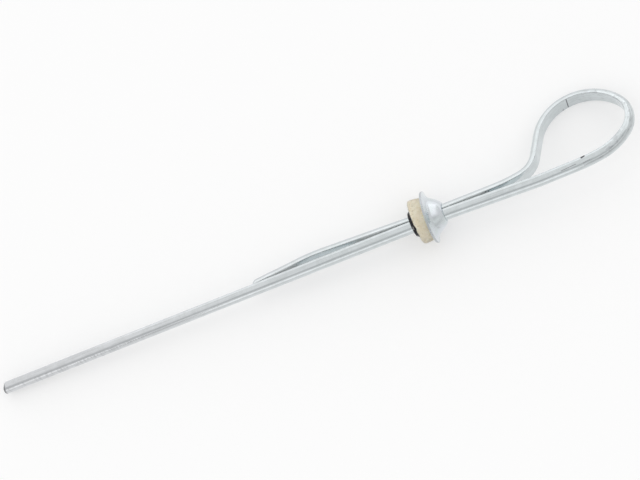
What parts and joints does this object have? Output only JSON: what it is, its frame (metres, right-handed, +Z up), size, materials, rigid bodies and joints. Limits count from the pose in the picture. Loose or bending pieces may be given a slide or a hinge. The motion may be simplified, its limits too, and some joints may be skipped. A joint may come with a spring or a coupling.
{
  "type": "engine oil dipstick",
  "caption": "Oil dipstick of folded half-round wire with a finger loop, a bowed spring leg, a pressed bell cap, a felt seal and a toothed retaining ring.",
  "frame": {"origin": "on the table, under the middle of the dipstick as it lies at rest", "axes": "+X along the stem from the tip towards the finger loop, +Z up from the table, +Y towards the bulging side of the finger loop"},
  "size_m": [0.2548, 0.035, 0.0199],
  "materials": {
    "plated_wire": "zinc plate over drawn half-round steel wire",
    "plated_sheet": "zinc plate over pressed steel sheet",
    "felt": "pressed wool felt, undyed",
    "black_spring_steel": "blackened spring steel"
  },
  "bodies": {
    "root": {"dip_rod": "plated_wire", "cap": "plated_sheet", "felt_seal": "felt", "retaining_ring": "black_spring_steel"}
  },
  "joints": []
}
